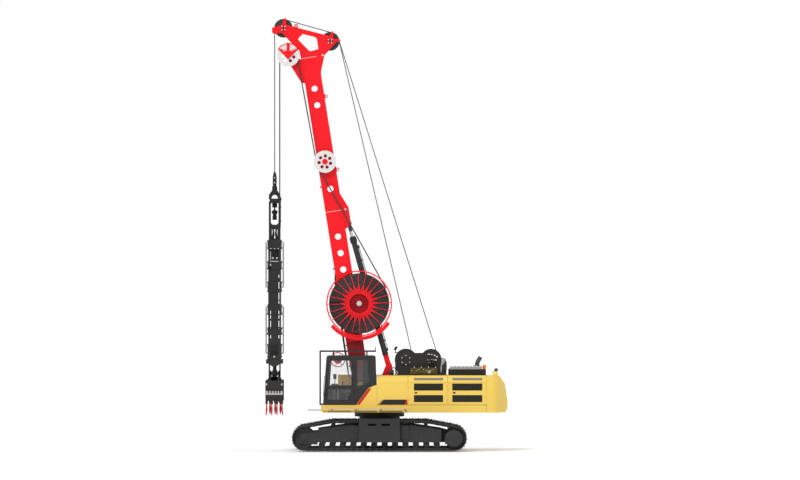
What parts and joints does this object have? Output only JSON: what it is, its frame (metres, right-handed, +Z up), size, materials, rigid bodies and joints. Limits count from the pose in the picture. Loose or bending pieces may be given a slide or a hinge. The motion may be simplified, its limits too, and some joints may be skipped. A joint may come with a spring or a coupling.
{
  "type": "diaphragm wall grab",
  "caption": "Crawler carrier with a slewing upper, luffing box boom, hose reel and winches, carrying a tall rope-hung hydraulic clamshell grab for digging narrow wall trenches.",
  "frame": {"origin": "middle of the footprint at ground level", "axes": "+X forward from the tail to the grab, +Y to the operator's left, +Z up"},
  "size_m": [8.7009, 4.49, 15.572],
  "materials": {
    "red_paint": "gloss paint",
    "yellow_paint": "gloss paint",
    "black_paint": "satin paint",
    "cab_grey": "satin paint",
    "grey_paint": "satin paint",
    "track_steel": "worn",
    "bare_steel": "machined",
    "cast_yellow": "painted casting",
    "engine_grey": "cast",
    "exhaust_steel": "heat stained",
    "cab_glass": "tinted",
    "seat_cloth": "woven",
    "lamp_plastic": "gloss",
    "wire_rope": "greased",
    "hose_rubber": "matt",
    "pulley_white": "satin paint",
    "rod_chrome": "polished"
  },
  "bodies": {
    "undercarriage": {"car_body": "black_paint", "track_frame_left": "black_paint", "track_frame_right": "black_paint", "track_left": "track_steel", "track_right": "track_steel", "running_gear": "black_paint"},
    "upper": {"slew_ring": "bare_steel", "upper_deck": "yellow_paint", "luff_bracket": "red_paint", "engine_house": "yellow_paint", "counterweight": "cast_yellow", "engine_block": "engine_grey", "tank_box": "yellow_paint", "radiator_box": "black_paint", "exhaust": "exhaust_steel", "winch_frame": "black_paint", "cab_shell": "cab_grey", "cab_glass": "cab_glass", "cab_guard": "black_paint", "cab_corner_cover": "yellow_paint", "operator_seat": "seat_cloth", "catwalks": "grey_paint", "lamps": "lamp_plastic", "winch_ropes": "wire_rope"},
    "cab_door": {"cab_door": "cab_grey", "cab_door_glass": "cab_glass"},
    "house_door_left_mid": {"house_door_left_mid": "yellow_paint"},
    "house_door_left_rear": {"house_door_left_rear": "yellow_paint"},
    "house_door_right_mid": {"house_door_right_mid": "yellow_paint"},
    "house_door_right_rear": {"house_door_right_rear": "yellow_paint"},
    "winch_drum_front": {"winch_drum_front": "grey_paint"},
    "winch_drum_rear": {"winch_drum_rear": "grey_paint"},
    "boom": {"boom_lower": "red_paint", "boom_upper": "red_paint", "boom_head": "red_paint", "pulley_bracket": "red_paint", "reel_guard": "red_paint", "cable_reel_stand": "red_paint", "hose_run": "hose_rubber", "head_ropes": "wire_rope"},
    "front_sheaves": {"front_sheaves": "grey_paint"},
    "rear_sheaves": {"rear_sheaves": "grey_paint"},
    "hose_pulley_top": {"hose_pulley_top": "pulley_white"},
    "hose_pulley_mid": {"hose_pulley_mid": "pulley_white"},
    "hose_reel": {"hose_reel": "red_paint", "reel_hose": "hose_rubber"},
    "cable_reel": {"cable_reel": "red_paint"},
    "luff_barrels": {"luff_barrels": "black_paint"},
    "luff_rods": {"luff_rods": "rod_chrome"},
    "falls": {"rope_falls": "wire_rope", "hose_falls": "hose_rubber"},
    "grab": {"grab_frame": "black_paint", "grab_head": "black_paint", "grab_guides": "grey_paint", "grab_cylinder": "black_paint"},
    "jaw_left": {"jaw_left": "black_paint", "jaw_teeth_left": "red_paint"},
    "jaw_right": {"jaw_right": "black_paint", "jaw_teeth_right": "red_paint"},
    "push_rods": {"push_rods": "bare_steel"}
  },
  "joints": [
    {"name": "swing", "type": "hinge", "parent": "undercarriage", "child": "upper", "pos_m": [0.25725, 0, 1.231], "axis": [0, 0, 1], "continuous": true},
    {"name": "luff", "type": "hinge", "parent": "upper", "child": "boom", "pos_m": [0.88724, 0, 2.25], "axis": [0, 1, 0], "range_deg": [-3, 14], "deforming": ["winch_ropes"]},
    {"name": "luff_barrel_tilt", "type": "hinge", "parent": "upper", "child": "luff_barrels", "pos_m": [-0.07075, 0, 3.053], "axis": [0, 1, 0], "range_deg": [-3.23, 15.02]},
    {"name": "luff_rod_slide", "type": "slide", "parent": "luff_barrels", "child": "luff_rods", "axis": [0.2696, 0, 0.963], "range_m": [-0.0619, 0.2885]},
    {"name": "falls_plumb", "type": "hinge", "parent": "boom", "child": "falls", "pos_m": [3.71375, 0, 15.19926], "axis": [0, 1, 0], "range_deg": [-14.01, 3.01]},
    {"name": "hoist", "type": "slide", "parent": "falls", "child": "grab", "axis": [0, 0, 1], "range_m": [-1.2, 1.5], "deforming": ["rope_falls", "hose_falls"]},
    {"name": "jaw_close", "type": "hinge", "parent": "grab", "child": "jaw_left", "pos_m": [4.02975, 0.2, 2.538], "axis": [-1, 0, 0], "range_deg": [0, 53.2]},
    {"name": "jaw_close_right", "type": "hinge", "parent": "grab", "child": "jaw_right", "pos_m": [4.02975, -0.2, 2.538], "axis": [1, 0, 0], "range_deg": [0, 53.2]},
    {"name": "jaw_push", "type": "slide", "parent": "grab", "child": "push_rods", "axis": [0, 0, -1], "range_m": [0, 0.4658]},
    {"name": "winch_front_turn", "type": "hinge", "parent": "upper", "child": "winch_drum_front", "pos_m": [-0.69276, 0, 3.262], "axis": [0, 1, 0], "continuous": true},
    {"name": "winch_rear_turn", "type": "hinge", "parent": "upper", "child": "winch_drum_rear", "pos_m": [-1.60075, 0, 3.285], "axis": [0, 1, 0], "continuous": true},
    {"name": "front_sheave_turn", "type": "hinge", "parent": "boom", "child": "front_sheaves", "pos_m": [3.71375, 0, 15.19926], "axis": [0, 1, 0], "continuous": true},
    {"name": "rear_sheave_turn", "type": "hinge", "parent": "boom", "child": "rear_sheaves", "pos_m": [2.03225, 0, 14.7275], "axis": [0, 1, 0], "continuous": true},
    {"name": "top_pulley_turn", "type": "hinge", "parent": "boom", "child": "hose_pulley_top", "pos_m": [3.53689, 0.43, 14.21683], "axis": [0, 1, 0], "continuous": true},
    {"name": "mid_pulley_turn", "type": "hinge", "parent": "boom", "child": "hose_pulley_mid", "pos_m": [2.21947, 0.43, 10.39285], "axis": [0, 1, 0], "continuous": true},
    {"name": "hose_reel_turn", "type": "hinge", "parent": "boom", "child": "hose_reel", "pos_m": [0.98794, 0.43, 5.29575], "axis": [0, 1, 0], "continuous": true},
    {"name": "cable_reel_turn", "type": "hinge", "parent": "boom", "child": "cable_reel", "pos_m": [1.75727, 0, 3.26844], "axis": [0, 1, 0], "continuous": true},
    {"name": "cab_door_swing", "type": "hinge", "parent": "upper", "child": "cab_door", "pos_m": [1.16224, 1.608, 2.6], "axis": [0, 0, 1], "range_deg": [0, 170]},
    {"name": "door_left_mid_swing", "type": "hinge", "parent": "upper", "child": "house_door_left_mid", "pos_m": [-0.75275, 1.618, 2.08], "axis": [0, 0, -1], "range_deg": [0, 90]},
    {"name": "door_left_rear_swing", "type": "hinge", "parent": "upper", "child": "house_door_left_rear", "pos_m": [-2.19375, 1.618, 2.08], "axis": [0, 0, -1], "range_deg": [0, 90]},
    {"name": "door_right_mid_swing", "type": "hinge", "parent": "upper", "child": "house_door_right_mid", "pos_m": [-0.75275, -1.618, 2.08], "axis": [0, 0, 1], "range_deg": [0, 90]},
    {"name": "door_right_rear_swing", "type": "hinge", "parent": "upper", "child": "house_door_right_rear", "pos_m": [-2.19375, -1.618, 2.08], "axis": [0, 0, 1], "range_deg": [0, 90]}
  ],
  "couplings": [
    {"joint": "luff_barrel_tilt", "follows": "luff", "ratio": 1.0724},
    {"joint": "luff_rod_slide", "follows": "luff", "m_per_rad": 1.18},
    {"joint": "falls_plumb", "follows": "luff", "ratio": -1},
    {"joint": "jaw_close_right", "follows": "jaw_close", "ratio": 1},
    {"joint": "jaw_push", "follows": "jaw_close", "m_per_rad": 0.50152}
  ]
}
